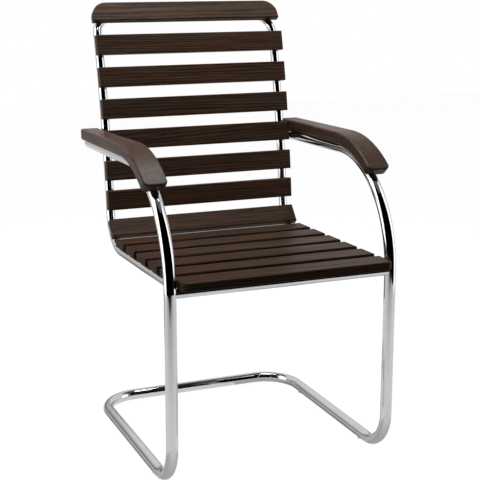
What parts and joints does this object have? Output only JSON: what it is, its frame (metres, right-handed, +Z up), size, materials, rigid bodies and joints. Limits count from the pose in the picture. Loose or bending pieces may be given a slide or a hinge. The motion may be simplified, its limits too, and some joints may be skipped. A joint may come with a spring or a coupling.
{
  "type": "visitor chair",
  "caption": "Cantilever visitor chair of bent chrome tube with dark wooden slats for seat and back and curved wooden armrests",
  "frame": {"origin": "on the floor, under the middle of the width and depth", "axes": "+Z up, the sitter faces -Y, +X to the left of the sitter"},
  "size_m": [0.546, 0.6311, 0.9565],
  "materials": {
    "chrome_tube": "polished",
    "dark_wood": "satin lacquer over dark stain, fine lengthwise grain",
    "end_plug": "smooth grey",
    "glide": "smooth pale grey",
    "steel_fastener": "zinc plated"
  },
  "bodies": {
    "root": {"arm_bolts": "steel_fastener", "arm_inserts": "steel_fastener", "arm_plug_left": "end_plug", "arm_plug_right": "end_plug", "arm_spacer_left": "chrome_tube", "arm_spacer_right": "chrome_tube", "armrest_left": "dark_wood", "armrest_right": "dark_wood", "armrest_screws": "steel_fastener", "back_slat_1": "dark_wood", "back_slat_2": "dark_wood", "back_slat_3": "dark_wood", "back_slat_4": "dark_wood", "back_slat_5": "dark_wood", "back_slat_6": "dark_wood", "back_slat_7": "dark_wood", "back_slat_8": "dark_wood", "back_slat_screws": "steel_fastener", "floor_glide_front_left": "glide", "floor_glide_front_right": "glide", "floor_glide_rear_left": "glide", "floor_glide_rear_right": "glide", "front_cross_tube": "chrome_tube", "main_frame": "chrome_tube", "seat_back_frame": "chrome_tube", "seat_slat_1": "dark_wood", "seat_slat_2": "dark_wood", "seat_slat_3": "dark_wood", "seat_slat_4": "dark_wood", "seat_slat_5": "dark_wood", "seat_slat_6": "dark_wood", "seat_slat_screws": "steel_fastener"}
  },
  "joints": []
}
